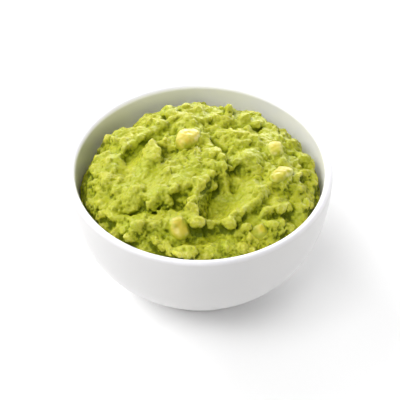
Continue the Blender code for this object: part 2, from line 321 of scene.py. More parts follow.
# Folds: points along the crest with the steep side on the right, rise of the crest, width of its gentle
# side, drop on its steep side, width of the steep part, and how far on the ground has come back up.
FOLDS = [
    # outside the curved groove on the left, up to the back
    ([(-36.5, -2), (-35.4, 7), (-32, 12.4), (-28.6, 16), (-23, 19.4), (-18.6, 22.6), (-12, 31)],
     1.7, 4.6, 3.0, 2.8, 7),
    # the tall peak, its face turned to the left
    ([(-19.4, -4.2), (-18.0, -0.6), (-18.0, 3.0), (-19.2, 6.6), (-22.0, 10.2)], 3.8, 5.2, 1.0, 2.2, 5),
    # short ridge that goes on to the right from the tall peak
    ([(-19.5, -1.8), (-16.5, -3.2), (-12.8, -6), (-8, -7)], 1.3, 1.4, 0.8, 1.3, 4),
    # behind the smooth hollow, left of and behind the back chunk
    ([(-18.4, 13.6), (-15.6, 18.4), (-12.6, 22), (-8, 25.4), (-2, 26)], 1.3, 2.0, 1.4, 1.8, 5),
    ([(-19.5, 12), (-16, 9.4), (-11.4, 9), (-5, 10)], 0.8, 2.6, 2.2, 1.6, 5),
    # left and back of the hollow in the middle
    ([(9.4, -1.8), (6.8, 3.3), (5.2, 8.6), (3.0, 13), (2.0, 21)], 1.5, 2.4, 3.4, 4.2, 10),
    ([(2.4, 22.4), (5.4, 18.6), (7.6, 15.3), (10.6, 12.8), (15, 10.4)], 2.0, 2.0, 1.2, 2.2, 4),
    # thin ridge between the two scoops
    ([(15.6, -19), (12.6, -15.6), (11.2, -10.5), (11, -5.5), (10.6, 0)], 3.2, 2.0, 1.8, 2.6, 8),
    # ledge behind the second scoop
    ([(13, -3.8), (16.6, -1.8), (20.5, -2.3), (25.4, -2.0), (28.4, 0.6)], 1.2, 4.0, 3.2, 3.4, 10),
    # the long scoop: its left side, then its front and right edge
    ([(-4.4, -34), (-2.8, -27), (-0.6, -20), (2.4, -14), (7.4, -5)], 2.0, 2.4, 6.8, 6.2, 16),
    ([(-1, -34.8), (5, -35.8), (12.6, -34.6), (19, -29.6), (27, -22.4), (31.4, -15.4)],
     2.2, 2.6, 2.4, 1.8, 5),
    # the edge of the plateau that runs from the left to the middle
    ([(-26, -23), (-20.5, -23.2), (-15, -22.6), (-8.6, -19.6), (-1.4, -15)], 1.6, 6.0, 3.4, 2.6, 8),
    # the big lump on the left
    ([(-33.6, -24.4), (-31, -25.6), (-28, -25.8), (-24.6, -24.2)], 2.0, 5.0, 4.0, 1.8, 4),
    ([(-23.4, -28.4), (-20.4, -26), (-17, -23.4)], 1.8, 1.4, 1.6, 1.3, 3),
    # the long bright lump at the back
    ([(-1, 26.6), (2.5, 29), (9.4, 32.6)], 1.8, 2.0, 1.8, 1.8, 5),
    # ridges on the right
    ([(40, -21.5), (43.5, -15), (46.8, -9)], 1.4, 2.0, 1.8, 1.8, 4),
    ([(42.6, -9), (45.2, -4.5), (48.6, -0.4)], 1.3, 1.6, 1.2, 1.6, 3),
    ([(26, -30), (31, -26.8), (36, -25.4), (39.4, -22.4)], 1.5, 2.4, 2.2, 2.4, 5),
    ([(19.6, -42), (24, -40.8), (28.6, -40), (33.8, -37.2), (37.6, -33.4)], 1.4, 2.4, 2.0, 1.8, 4),
    ([(29, 14.6), (32.4, 5), (33.6, -1)], 1.0, 3.0, 1.6, 1.6, 5),
]

# Bumps and dents: centre, half length, half width, turn, height, and how flat-topped each one is.
BUMPS = [
    # smooth dents: the first runs along the back on the left
    (-27.0, 33.0, 13.0, 5.0, -32.0, -2.2, 2.2),
    (13.0, -22.0, 11.0, 6.5, 46.0, -1.8, 2.6),
    (-31.5, 4.5, 7.0, 3.6, 75.0, -1.0, 2.6),
    (-14.0, 4.2, 4.6, 4.2, 0.0, -0.8, 3.0),
    (9.0, 14.0, 6.5, 3.4, 115.0, -1.2, 2.8),
    (17.2, 24.6, 4.5, 2.8, 0.0, -5.2, 2.4),
    (4.9, 20.4, 3.4, 2.4, 0.0, -3.2, 2.4),
    (27.0, 24.0, 2.6, 3.2, 0.0, -5.2, 2.4),
    (12.4, 24.0, 3.0, 2.4, 0.0, -2.4, 2.4),
    # notches in the outline, from left to right
    (-47.6, 14.4, 4.2, 5.0, 0.0, -7.0, 2.6),
    (-29.5, 29.4, 5.0, 3.2, -10.0, -3.4, 2.6),
    (-16.6, 32.6, 1.8, 3.0, 0.0, -2.4, 2.4),
    (48.6, 4.6, 2.0, 2.2, 0.0, -2.6, 2.4),
    (50.8, -7.6, 2.0, 1.8, 0.0, -3.0, 2.4),
    (39.6, -15.8, 4.4, 2.2, 75.0, -3.4, 2.4),
    (38.6, -5.2, 2.0, 1.8, 0.0, -2.0, 2.4),
    (41.4, -28.4, 3.8, 2.2, 40.0, -4.8, 2.4),
    (27.6, -31.0, 3.0, 1.6, 20.0, -0.8, 2.4),
    (-49.8, -6.0, 1.8, 2.2, 0.0, -2.6, 2.4),
    (-51.0, 0.0, 3.0, 8.0, 0.0, -4.4, 2.6),
    (-48.4, -13.4, 2.0, 3.0, 0.0, -2.8, 2.4),
    (-38.5, 9.0, 2.0, 2.2, 0.0, -3.8, 2.2),
    (-32.5, -7.0, 2.4, 2.2, 0.0, -2.0, 2.2),
    (19.0, 9.2, 1.8, 1.8, 0.0, -0.8, 2.2),
    (27.0, 11.0, 2.2, 2.0, 0.0, -1.0, 2.2),
    (2.6, -41.8, 9.0, 2.4, 6.0, -5.0, 2.6),
    (17.0, -41.2, 3.0, 1.8, 0.0, -2.4, 2.4),
    (6.6, -37.0, 2.6, 2.0, 0.0, -2.2, 2.4),
    (-13.2, -40.8, 2.2, 1.7, 0.0, -3.4, 2.4),
    (-9.2, -26.5, 3.0, 3.0, 0.0, -3.0, 2.4),
    (-40.8, -30.4, 4.0, 2.2, -42.0, -3.6, 2.4),
    (-35.0, -37.5, 3.4, 2.0, -30.0, -3.0, 2.4),
    (8.2, -8.0, 1.8, 2.4, 0.0, -2.0, 2.2),
    (43.0, 11.0, 2.4, 3.0, 40.0, -2.6, 2.2),
    # raised places
    (-26.2, -38.4, 5.0, 3.4, 0.0, 3.8, 2.8),
    (-4.0, 25.4, 4.6, 2.6, 20.0, 1.2, 2.6),
    (-15.0, 23.6, 3.0, 2.6, 0.0, 1.6, 2.6),
    (47.2, -3.2, 2.6, 2.6, 0.0, 1.4, 2.6),
    (-22.6, 2.0, 8.4, 3.6, 81.0, 1.8, 5.0),
    (-13.0, -13.0, 15.0, 5.0, 27.0, 1.2, 3.0),
    (-31.0, -19.4, 6.0, 4.6, 15.0, 2.4, 3.2),
    (-43.0, 1.5, 6.0, 6.0, 0.0, 2.8, 2.8),
    (-37.5, -11.0, 4.6, 4.6, 0.0, 1.6, 2.6),
    (-45.5, -14.0, 4.2, 4.4, 0.0, 1.2, 2.6),
    (23.6, 3.4, 5.8, 4.6, 25.0, 2.6, 5.0),
    (1.4, 0.4, 4.4, 3.6, 0.0, 1.2, 3.2),
    (33.5, -35.0, 4.0, 3.0, 10.0, 1.4, 2.8),
    # shallow seats for the two small chunks
    (24.4, -38.0, 5.0, 3.8, 28.0, -1.0, 2.8),
    (34.5, 9.2, 5.4, 4.2, 80.0, -1.4, 2.8),
    # more raised places
    (-6.0, -52.5, 8.0, 3.8, 0.0, 3.6, 2.6),
    (28.0, -6.0, 3.6, 2.6, 0.0, 1.8, 2.6),
    (43.0, -17.0, 3.4, 3.6, 0.0, 1.0, 2.6),
]

# Lumps melted into the heap: centre, lift above the ground there, half sizes, turn, tilt.
LUMPS = [
    # the uneven outline, from left to back to right
    (-46.0, 6.5, -0.6, 3.0, 2.4, 2.2, 10, 0),
    (-43.2, 22.4, 0.8, 2.3, 2.1, 2.2, 0, 0),
    (-38.2, 24.4, -0.4, 3.2, 2.6, 2.6, 20, 0),
    (-33.0, 24.0, -0.4, 3.0, 2.4, 2.4, 0, 0),
    (-28.2, 24.2, -0.6, 2.6, 2.2, 2.2, 0, 0),
    (-23.0, 30.2, 0.6, 2.5, 2.6, 3.4, 0, 0),
    (-19.6, 27.4, -0.2, 2.0, 2.4, 2.4, 0, 0),
    (-13.6, 35.6, -0.2, 3.6, 2.8, 3.0, 20, 0),
    (-6.4, 40.2, 0.2, 3.2, 2.2, 2.4, 0, 0),
    (-0.8, 38.4, 0.0, 3.0, 2.6, 2.6, 0, 0),
    (4.6, 40.6, -0.4, 2.6, 2.2, 2.2, 0, 0),
    (-8.6, 33.4, -0.4, 2.6, 2.2, 2.2, 30, 0),
    (-5.0, 31.4, -0.2, 2.2, 2.0, 2.0, 0, 0),
    (13.5, 36.6, 2.0, 2.4, 2.5, 3.8, 0, 6),
    (21.2, 31.0, 0.4, 3.2, 2.6, 3.0, 10, 0),
    (26.6, 28.0, 0.2, 2.4, 2.6, 2.8, 0, 0),
    (22.0, 23.4, -0.1, 2.3, 2.4, 2.4, 0, 0),
    (12.8, 30.4, -0.4, 2.4, 2.0, 2.0, 0, 0),
    (9.5, 19.6, -0.6, 2.8, 1.8, 2.0, 20, 0),
    (16.0, 17.6, -0.5, 2.6, 2.0, 2.0, 20, 0),
    (24.0, 15.6, -0.3, 3.2, 2.0, 2.0, -10, 0),
    (36.8, 20.4, -0.6, 2.8, 2.2, 2.0, -20, 0),
    (43.0, 18.8, 0.0, 3.0, 2.8, 3.0, 0, 0),
    (46.4, 10.4, -0.2, 2.3, 2.4, 2.4, 0, 0),
    (49.6, 8.6, 0.0, 2.2, 2.4, 2.6, 0, 0),
    (51.4, -2.0, -0.2, 2.2, 3.0, 2.6, 0, 0),
    (47.8, -1.2, 0.2, 2.6, 2.2, 2.0, 40, 0),
    # tip of the tall peak
    (-21.8, 8.6, -0.2, 1.7, 2.0, 2.2, 0, 0),
    # right of the middle
    (14.8, 8.8, 0.0, 2.2, 1.5, 1.8, 60, 0),
    (19.4, 11.4, 0.0, 2.6, 1.4, 1.8, 5, 0),
    (30.8, -1.6, 0.2, 1.8, 3.0, 2.2, 8, 0),
    (37.6, 2.2, 0.0, 1.7, 2.6, 2.2, 0, 0),
    (36.6, 7.0, -0.2, 1.6, 2.4, 2.0, 0, 0),
    (16.4, -1.2, 0.5, 1.4, 1.3, 1.6, 0, 0),
    (10.4, -0.6, 0.8, 1.3, 1.4, 2.0, 0, 10),
    # the scoop's left side
    (2.7, -14.6, 0.3, 2.1, 1.9, 2.0, 0, 0),
    (0.6, -18.4, 0.2, 1.5, 1.5, 1.5, 0, 0),
    (-1.6, -15.8, 0.1, 1.5, 1.4, 1.4, 0, 0),
    (-4.2, -19.8, 0.0, 1.5, 1.4, 1.4, 0, 0),
    (-1.8, -21.6, 0.0, 1.5, 1.6, 1.5, 0, 0),
    (-6.0, -23.4, -0.1, 1.7, 1.5, 1.5, 0, 0),
    (-3.0, -25.8, 0.2, 2.0, 1.8, 1.8, 30, 0),
    (-4.4, -29.6, 0.0, 1.8, 1.5, 1.6, 0, 0),
    (-2.2, -32.6, 0.0, 2.2, 1.5, 1.8, 50, 0),
    (5.4, -10.4, 0.1, 1.6, 1.4, 1.6, 0, 0),
    (-13.9, -24.4, 1.4, 2.2, 2.2, 2.4, 0, 0),
    (-20.2, -25.4, 0.9, 3.8, 1.9, 2.2, 48, 0),
    (-22.8, -29.0, 0.2, 2.2, 1.8, 1.8, 40, 0),
    # front
    (-1.2, -37.2, 2.2, 3.5, 2.9, 2.9, 0, 0),
    (-0.2, -40.2, 0.2, 2.0, 1.4, 1.8, 0, 0),
    (12.8, -36.4, 2.2, 3.0, 2.8, 2.8, 0, 0),
    (16.6, -39.2, -0.4, 2.0, 1.6, 1.6, 0, 0),
    (31.6, -35.6, 0.6, 2.4, 2.0, 2.2, 0, 0),
    (35.4, -33.0, 0.6, 1.6, 2.0, 2.2, 0, 0),
    (11.4, -47.0, 0.8, 2.1, 1.9, 2.3, 0, 0),
    (5.0, -47.4, 0.2, 2.2, 1.8, 1.9, 0, 0),
    (17.6, -45.8, 0.4, 2.8, 1.9, 2.1, 0, 0),
    (23.6, -42.8, 0.0, 2.4, 1.8, 1.9, 20, 0),
    (29.6, -42.6, 0.2, 2.6, 1.6, 1.9, 30, 0),
    (0.4, -48.2, 0.0, 2.4, 1.7, 1.8, 0, 0),
    (-6.0, -50.4, 0.8, 5.6, 3.4, 2.6, 5, 0),
    (-14.4, -46.2, 0.8, 3.0, 2.5, 2.8, 0, 0),
    (-18.4, -44.0, 0.6, 2.4, 2.2, 2.2, 0, 0),
    (-18.0, -37.0, 0.2, 2.6, 2.0, 2.0, 20, 0),
    (-23.4, -32.8, 0.2, 2.6, 2.4, 2.0, 0, 0),
    (-21.4, -36.4, 0.2, 2.4, 2.2, 2.0, 0, 0),
    (-27.0, -34.0, 0.0, 2.8, 2.2, 2.0, 0, 0),
    (-26.4, -38.4, 0.6, 3.4, 2.8, 2.6, 20, 0),
    (-29.6, -40.6, 0.6, 3.4, 2.6, 2.4, 20, 0),
    (-42.4, -25.2, 0.4, 2.6, 2.2, 2.2, 0, 0),
    (-37.2, -28.6, 0.4, 3.0, 2.4, 2.2, 0, 0),
    (-36.4, -23.0, 0.0, 2.4, 2.2, 2.0, 0, 0),
    (-48.6, -16.6, -0.8, 2.2, 2.6, 2.2, 0, 0),
    (-44.0, -19.4, 0.2, 2.8, 2.2, 2.2, 0, 0),
    (-47.8, 1.4, -0.6, 2.6, 3.0, 2.4, 0, 0),
    (-42.0, -7.0, 0.4, 3.0, 2.6, 2.2, 0, 0),
    (-33.2, -30.6, 0.0, 2.2, 1.8, 1.8, 0, 0),
    # right front
    (34.8, -26.4, 0.4, 2.8, 2.4, 2.4, 20, 0),
    (28.6, -28.0, -0.7, 2.0, 1.8, 1.8, 0, 0),
    (38.4, -23.6, 0.6, 2.0, 2.2, 2.2, 20, 0),
    (46.6, -18.6, 0.2, 2.2, 2.6, 2.2, -20, 0),
    (42.4, -27.4, 0.0, 2.6, 2.4, 2.0, -30, 0),
    (38.6, -33.4, 0.0, 2.6, 2.0, 2.0, -40, 0),
    (45.8, -11.6, 0.4, 1.8, 2.4, 2.2, -10, 0),
    # a few between the others
    (19.8, -37.2, 0.6, 2.4, 2.0, 2.2, 0, 0),
    (38.4, -9.0, 0.3, 2.2, 1.8, 2.0, 20, 0),
    (43.2, -21.0, 0.2, 2.2, 2.0, 2.0, -20, 0),
    (21.4, -46.4, 0.0, 2.2, 1.8, 1.9, 20, 0),
]

# Chunks: node, half sizes, turn, tilt, and how much mash colours them.
CHUNKS = [
    ("avocado_chunk_back", (6.9, 4.6, 3.7), 60.0, 4.0, 0.0),
    ("avocado_chunk_right", (6.8, 3.8, 3.4), 50.0, 6.0, 0.85),
    ("avocado_chunk_front", (6.0, 4.4, 4.0), 112.0, -26.0, 0.3),
    ("avocado_chunk_far_right", (5.0, 3.6, 3.0), 80.0, 6.0, 0.55),
    ("avocado_chunk_near_right", (4.8, 3.4, 3.0), 28.0, -10.0, 0.9),
]

# The mash takes up a shape a little lower and smaller than the chunk, which leaves the chunk's top bare.
CHUNK_SINK = (0.0, 0.0, 1.2)
CHUNK_BARE = (0.1, 0.1, 0.5)
CHUNK_SHADE = 0.6

# Places that stay smooth, left by the spoon or round a chunk: centre, half length, half width, turn.
SMOOTH_PLACES = [
    (14.5, -21.0, 15.0, 7.5, 46.0),
    (18.0, -10.0, 7.0, 5.0, -45.0),
    (4.2, -22.0, 12.0, 4.4, 68.0),
    (8.8, 12.5, 8.5, 4.5, 118.0),
    (-31.0, 6.0, 10.0, 4.5, 72.0),
    (-24.0, 16.0, 8.0, 4.0, 35.0),
    (-15.0, 3.5, 5.5, 5.0, 0.0),
    (-12.0, -13.0, 13.0, 4.5, 27.0),
    (-24.0, 1.0, 9.0, 3.5, 78.0),
    (23.6, 3.4, 6.4, 5.2, 25.0),
    (10.0, 22.0, 6.0, 3.6, 20.0),
    (24.4, -38.0, 5.6, 4.4, 28.0),
    (34.5, 9.2, 6.2, 4.8, 80.0),
]


# ---------------------------------------------------------------- the heap's shape

def mound(x, y):
    """The plain mound: a flat dome that rolls down into a gutter along the wall."""
    radius = np.hypot(x, y)
    spread = np.clip(radius / MOUND_RADIUS, 0.0, 1.0) ** MOUND_POWER
    height = CROWN_HEIGHT + (SHOULDER_HEIGHT - CROWN_HEIGHT) * spread
    back = smooth_step(y / np.maximum(radius, 1.0))
    depth = GUTTER_DEPTH + (BACK_GUTTER_DEPTH - GUTTER_DEPTH) * back
    width = GUTTER_WIDTH + (BACK_GUTTER_WIDTH - GUTTER_WIDTH) * back
    return height - depth * smooth_step((radius - MOUND_RADIUS + width) / width) ** GUTTER_POWER


def height_map(x, y):
    """The heap's height with its spoon marks, ridges and bumps, before lumps and grain."""
    height = mound(x, y)
    for centre_x, centre_y, half_length, half_width, turn, rise, flatness in BUMPS:
        distance = ellipse_distance(x, y, centre_x, centre_y, half_length, half_width, turn)
        height += rise * np.exp(-(distance**flatness))
    for fold in FOLDS:
        add_fold(x, y, height, *fold)
    return height


class Mash:
    """A 3-D field that is negative inside the guacamole, with a shade for its stuff."""

    def __init__(self, axes, ground):
        self.axes = axes
        slope_x, slope_y = np.gradient(ground, STEP)
        lean = 1.0 / np.sqrt(1.0 + np.minimum(slope_x**2 + slope_y**2, 9.0))
        field = (axes[2][None, None, :] - ground[:, :, None]) * lean[:, :, None]
        self.field = field.astype(np.float32)
        self.shade = np.zeros(field.shape, dtype=np.float32)
        self.grit = cloud(field.shape, GRIT_GRAIN[1], GRIT_SEED)
        self.bend = [LUMP_BEND[0] * cloud(field.shape, LUMP_BEND[1], seed) for seed in BEND_SEEDS]

    def lump(self, centre, half_sizes, turn, tilt, power, warp, margin):
        """A window of the grid round a lump, and the distance from the lump's surface in it.

        The power is 2 for an ellipsoid and more for a squarer lump.
        """
        reach = 1.2 * max(half_sizes) + margin
        window = []
        for axis, place in zip(self.axes, centre):
            low, high = np.searchsorted(axis, (place - reach, place + reach))
            window.append(slice(low, high))
        window = tuple(window)
        offsets = [axis[part] - place for axis, part, place in zip(self.axes, window, centre)]
        offsets = np.meshgrid(*offsets, indexing="ij", sparse=True)
        offsets = [offset + warp * bend[window] for offset, bend in zip(offsets, self.bend)]
        spin = np.array(Euler((0.0, math.radians(tilt), math.radians(turn))).to_matrix())
        scaled = [np.abs(sum(spin[row, column] * offsets[row] for row in range(3))) / half_sizes[column]
                  for column in range(3)]
        level = sum(value**power for value in scaled) ** (1 / power)
        return window, (level - 1.0) * min(half_sizes)

    def melt_in(self, centre, half_sizes, turn, tilt, power, warp, seam, shade):
        """Join a lump to the field with a soft seam, and give its stuff a shade of its own."""
        window, distance = self.lump(centre, half_sizes, turn, tilt, power, warp, 2 * seam)
        here = self.field[window]
        mix = np.clip(0.5 + 0.5 * (here - distance) / seam, 0.0, 1.0)
        self.field[window] = here + (distance - here) * mix - seam * mix * (1.0 - mix)
        self.shade[window] += (shade - self.shade[window]) * mix

    def sample(self, points):
        """The field's value at some places, trilinear."""
        places = [np.clip((points[:, axis] - self.axes[axis][0]) / STEP, 0, len(self.axes[axis]) - 1.001)
                  for axis in range(3)]
        cells = [place.astype(int) for place in places]
        parts = [place - cell for place, cell in zip(places, cells)]
        value = np.zeros(len(points))
        for i, j, k in np.ndindex(2, 2, 2):
            weight = ((parts[0] if i else 1 - parts[0]) * (parts[1] if j else 1 - parts[1])
                      * (parts[2] if k else 1 - parts[2]))
            value += weight * self.field[cells[0] + i, cells[1] + j, cells[2] + k]
        return value


def sample_map(grid, x, y, origin):
    """The value at the point of a 2-D grid that is nearest to a place."""
    column = int(np.clip(round((x - origin) / STEP), 0, grid.shape[0] - 1))
    row = int(np.clip(round((y - origin) / STEP), 0, grid.shape[1] - 1))
    return float(grid[column, row])


def surface_net(field, axes):
    """Vertices and quads of the field's zero surface, one vertex to each cell that it crosses."""
    corners = [(i, j, k) for i in (0, 1) for j in (0, 1) for k in (0, 1)]
    inside = field < 0
    shape = tuple(size - 1 for size in field.shape)
    count = np.zeros(shape, dtype=np.int8)
    for i, j, k in corners:
        count += inside[i:i + shape[0], j:j + shape[1], k:k + shape[2]]
    cells = np.argwhere((count > 0) & (count < 8))
    number = np.full(shape, -1, dtype=np.int64)
    number[tuple(cells.T)] = np.arange(len(cells))
    values = {corner: field[tuple((cells + corner).T)] for corner in corners}
    total = np.zeros((len(cells), 3))
    crossings = np.zeros(len(cells))
    for corner in corners:
        for axis in range(3):
            if corner[axis]:
                continue
            other = tuple(1 if place == axis else corner[place] for place in range(3))
            start, end = values[corner], values[other]
            crossed = (start < 0) != (end < 0)
            part = np.where(crossed, start / np.where(crossed, start - end, 1.0), 0.0)
            place = np.array(corner, dtype=float)[None, :].repeat(len(cells), axis=0)
            place[:, axis] = part
            total += place * crossed[:, None]
            crossings += crossed
    places = cells + total / crossings[:, None]
    points = np.column_stack([np.interp(places[:, axis], np.arange(len(axes[axis])), axes[axis])
                              for axis in range(3)])
    quads = []
    for axis in range(3):
        one, two = (axis + 1) % 3, (axis + 2) % 3
        near_side = [slice(1, size - 1) for size in field.shape]
        near_side[axis] = slice(0, field.shape[axis] - 1)
        far_side = list(near_side)
        far_side[axis] = slice(1, field.shape[axis])
        here, there = inside[tuple(near_side)], inside[tuple(far_side)]
        edges = np.argwhere(here != there)
        outward = here[tuple(edges.T)]
        base = edges.copy()
        base[:, one] += 1
        base[:, two] += 1
        around = []
        for shift_one, shift_two in ((-1, -1), (0, -1), (0, 0), (-1, 0)):
            cell = base.copy()
            cell[:, one] += shift_one
            cell[:, two] += shift_two
            around.append(number[tuple(cell.T)])
        quad = np.column_stack(around)
        quads.append(np.where(outward[:, None], quad, quad[:, ::-1]))
    return points, np.vstack(quads)


def height_and_roughness(x, y):
    """The ground with its curds, before lumps, and how rough it is: 0 where it is smooth, 1 elsewhere."""
    rough = np.ones(x.shape)
    for place in SMOOTH_PLACES:
        rough *= 1.0 - np.exp(-(ellipse_distance(x, y, *place) ** 3))
    bent_x, bent_y = (grid + CURD_BEND * cloud(x.shape, 3.0, seed)
                      for grid, seed in zip((x, y), CURD_BEND_SEEDS))
    patchy = 0.75 + 0.5 * cloud(x.shape, 8.0, PATCH_SEED) - 0.2 * smooth_step((y + 10.0) / 30.0)
    ground = height_map(*(grid + FEATURE_BEND * cloud(x.shape, 4.0, seed)
                          for grid, seed in zip((x, y), FEATURE_BEND_SEEDS)))
    ground += SWELL * cloud(x.shape, 7.0, SWELL_SEED)
    height, spacing = LARGE_CURDS
    tops = np.sqrt(curds(bent_x, bent_y, spacing, LARGE_CURD_SEED)) - CURD_MIDDLE
    ground += (SMOOTH_LARGE + (1 - SMOOTH_LARGE) * rough) * patchy * height * tops
    height, spacing = SMALL_CURDS
    tops = np.sqrt(curds(bent_x, bent_y, spacing, SMALL_CURD_SEED)) - CURD_MIDDLE
    ground += (SMOOTH_SMALL + (1 - SMOOTH_SMALL) * rough) * height * tops
    return blurred(ground, GROUND_PASSES), rough


def melt_lumps(mash, ground, rough, origin):
    """Melt the chunks' seats, the lumps and the scattered beads into the mash."""
    chance = np.random.default_rng(LUMP_SEED)
    for node, half_sizes, turn, tilt, _ in CHUNKS:
        centre, half_sizes = chunk_shape(node, half_sizes)
        mash.melt_in(centre - CHUNK_SINK, half_sizes - CHUNK_BARE, turn, tilt,
                     CHUNK_POWER, CHUNK_WARP, CHUNK_SEAM, CHUNK_SHADE)
    for centre_x, centre_y, lift, *half_sizes, turn, tilt in LUMPS:
        height = sample_map(ground, centre_x, centre_y, origin)
        mash.melt_in((centre_x, centre_y, height + lift), half_sizes, turn, tilt,
                     ROUND, LUMP_WARP, LUMP_SEAM, chance.uniform(-0.6, 0.9))
    for _ in range(BEAD_COUNT):
        radius = BEAD_REACH * math.sqrt(chance.random())
        angle = chance.uniform(0.0, 2 * math.pi)
        size = 1.1 + 1.3 * chance.random() ** 2
        stretch = chance.uniform(0.75, 1.35)
        turn, tilt = chance.uniform(0.0, 180.0), chance.uniform(-35.0, 35.0)
        lift, shade = chance.uniform(-0.65, 0.1), chance.uniform(-1.0, 1.0)
        place = (radius * math.cos(angle), radius * math.sin(angle))
        if chance.random() > sample_map(rough, *place, origin):
            continue
        height = sample_map(ground, *place, origin) + lift * size
        half_sizes = (size * stretch, size / stretch, size * 0.85)
        mash.melt_in((*place, height), half_sizes, turn, tilt, ROUND, BEAD_WARP, BEAD_SEAM, shade)


def sculpt_heap():
    """The guacamole's field, and the points, quads and grid cells of its surface."""
    reach = wall_radius(RIM_HEIGHT) + FIELD_MARGIN
    flat = np.arange(-reach, reach + STEP, STEP)
    tall = np.arange(FIELD_BOTTOM, FIELD_TOP, STEP)
    axes = (flat, flat, tall)
    x, y = np.meshgrid(flat, flat, indexing="ij")
    ground, rough = height_and_roughness(x, y)
    mash = Mash(axes, ground)
    melt_lumps(mash, ground, rough, flat[0])

    for axis in (0, 1, 2, 0, 1, 2):
        mash.field = averaged(mash.field, axis)
    field = mash.field
    grain = (SMOOTH_GRAIN + (1 - SMOOTH_GRAIN) * rough)[:, :, None].astype(np.float32)
    height, spacing = PUFF_GRAIN
    field -= grain * height * (puffs(field.shape, spacing, PUFF_SEED) - 0.4)
    height, spacing = SWELL_GRAIN
    field -= grain * height * cloud(field.shape, spacing, GRAIN_SEED)
    field -= GRIT_GRAIN[0] * mash.grit
    wall = np.hypot(x, y)[:, :, None] - wall_radius(tall)[None, None, :]
    np.maximum(field, wall, out=field)
    points, quads = surface_net(field, axes)
    cells = [np.clip(((points[:, axis] - axes[axis][0]) / STEP).astype(int), 0, field.shape[axis] - 1)
             for axis in range(3)]
    return mash, points, quads, cells


def set_layers(mesh, **layers):
    """Store numbers on a mesh's points, for its material to read by their names."""
    for name, values in layers.items():
        layer = mesh.attributes.new(name, "FLOAT", "POINT")
        layer.data.foreach_set("value", values.astype(np.float32))


def add_piece(name, mesh, material, node):
    """Put a mesh in the scene as the piece that stands for a CAD node."""
    mesh.shade_smooth()
    mesh.materials.append(material)
    piece = bpy.data.objects.new(name, mesh)
    bpy.context.scene.collection.objects.link(piece)
    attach(piece, "root")
    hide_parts(node)
    return piece


def open_edge(quads):
    """The points along the one open edge of a surface, in order."""
    steps = np.vstack([quads[:, [corner, (corner + 1) % 4]] for corner in range(4)])
    count = int(quads.max()) + 1
    there = steps[:, 0] * count + steps[:, 1]
    back = steps[:, 1] * count + steps[:, 0]
    follow = dict(steps[~np.isin(there, back)].tolist())
    edge = [min(follow)]
    while follow[edge[-1]] != edge[0]:
        edge.append(follow[edge[-1]])
    return np.array(edge)


def close_underneath(points, quads, edge):
    """Close the surface's open edge by rings along the inside of the bowl and a face on its floor."""
    outward = points[edge, :2] / np.hypot(points[edge, 0], points[edge, 1])[:, None]
    faces = quads.tolist()
    ring = edge
    for height in UNDERSIDE_HEIGHTS:
        lower = len(points) + np.arange(len(edge))
        added = np.column_stack([outward * wall_radius(height), np.full(len(edge), height)])
        points = np.vstack([points, added])
        faces += np.column_stack([np.roll(ring, -1), ring, lower, np.roll(lower, -1)]).tolist()
        ring = lower
    faces.append(ring[::-1].tolist())
    return points, faces


def make_heap(material):
    """The guacamole: its sculpted top, closed underneath along the inside of the bowl. Returns its field.

    Its points know how deep they lie below the heap round them (depth), and below their own nearest
    neighbourhood (crease), both in millimetres; the material paints shade by them.
    """
    mash, points, quads, cells = sculpt_heap()
    size = cells[0].max() + 2
    top = np.full((size, size), FIELD_BOTTOM)
    np.maximum.at(top, (cells[0], cells[1]), points[:, 2])
    layers = {
        "shade": mash.shade[tuple(cells)],
        "depth": blurred(top, int(round(9 / STEP)))[cells[0], cells[1]] - points[:, 2],
        "crease": blurred(top, int(round(2 / STEP)))[cells[0], cells[1]] - points[:, 2],
    }
    edge = open_edge(quads)
    points, faces = close_underneath(points, quads, edge)
    mesh = bpy.data.meshes.new("guacamole_mash")
    mesh.from_pydata((points * MM).tolist(), [], faces)
    below = np.tile(edge, len(UNDERSIDE_HEIGHTS))
    set_layers(mesh, **{name: np.append(values, values[below]) for name, values in layers.items()})
    heap = add_piece("guacamole_mash", mesh, material, "guacamole")
    triangles = sum(len(face.vertices) - 2 for face in mesh.polygons)
    thin = heap.modifiers.new("thin", "DECIMATE")
    thin.ratio = min(1.0, MOST_TRIANGLES / triangles)
    return mash


# ---------------------------------------------------------------- materials

def new_material(name):
    """An empty node material, with its shader and its output."""
    material = bpy.data.materials.new(name)
    material.use_nodes = True
    nodes = material.node_tree.nodes
    nodes.clear()
    output = nodes.new("ShaderNodeOutputMaterial")
    shader = nodes.new("ShaderNodeBsdfPrincipled")
    material.node_tree.links.new(shader.outputs[0], output.inputs[0])
    return material, shader


def add_node(material, kind, values=None, **settings):
    """Add a node, with its settings and its unlinked input values."""
    node = material.node_tree.nodes.new(kind)
    for name, value in settings.items():
        setattr(node, name, value)
    for name, value in (values or {}).items():
        node.inputs[name].default_value = value
    return node


def attribute(material, name):
    """A number stored on the mesh's points."""
    return add_node(material, "ShaderNodeAttribute", attribute_name=name).outputs["Fac"]


def set_scatter(shader, weight, radius, scale):
    """Light that goes into the stuff and comes out again; the scale is in millimetres."""
    shader.inputs["Subsurface Weight"].default_value = weight
    shader.inputs["Subsurface Radius"].default_value = radius
    shader.inputs["Subsurface Scale"].default_value = scale * MM


def mixed(material, factor, first, second):
    """A colour mix; each of its inputs is a socket or a plain value."""
    node = add_node(material, "ShaderNodeMix", data_type="RGBA")
    for socket, value in ((node.inputs[0], factor), (node.inputs[6], first), (node.inputs[7], second)):
        if isinstance(value, bpy.types.NodeSocket):
            material.node_tree.links.new(value, socket)
        else:
            socket.default_value = value
    return node.outputs[2]


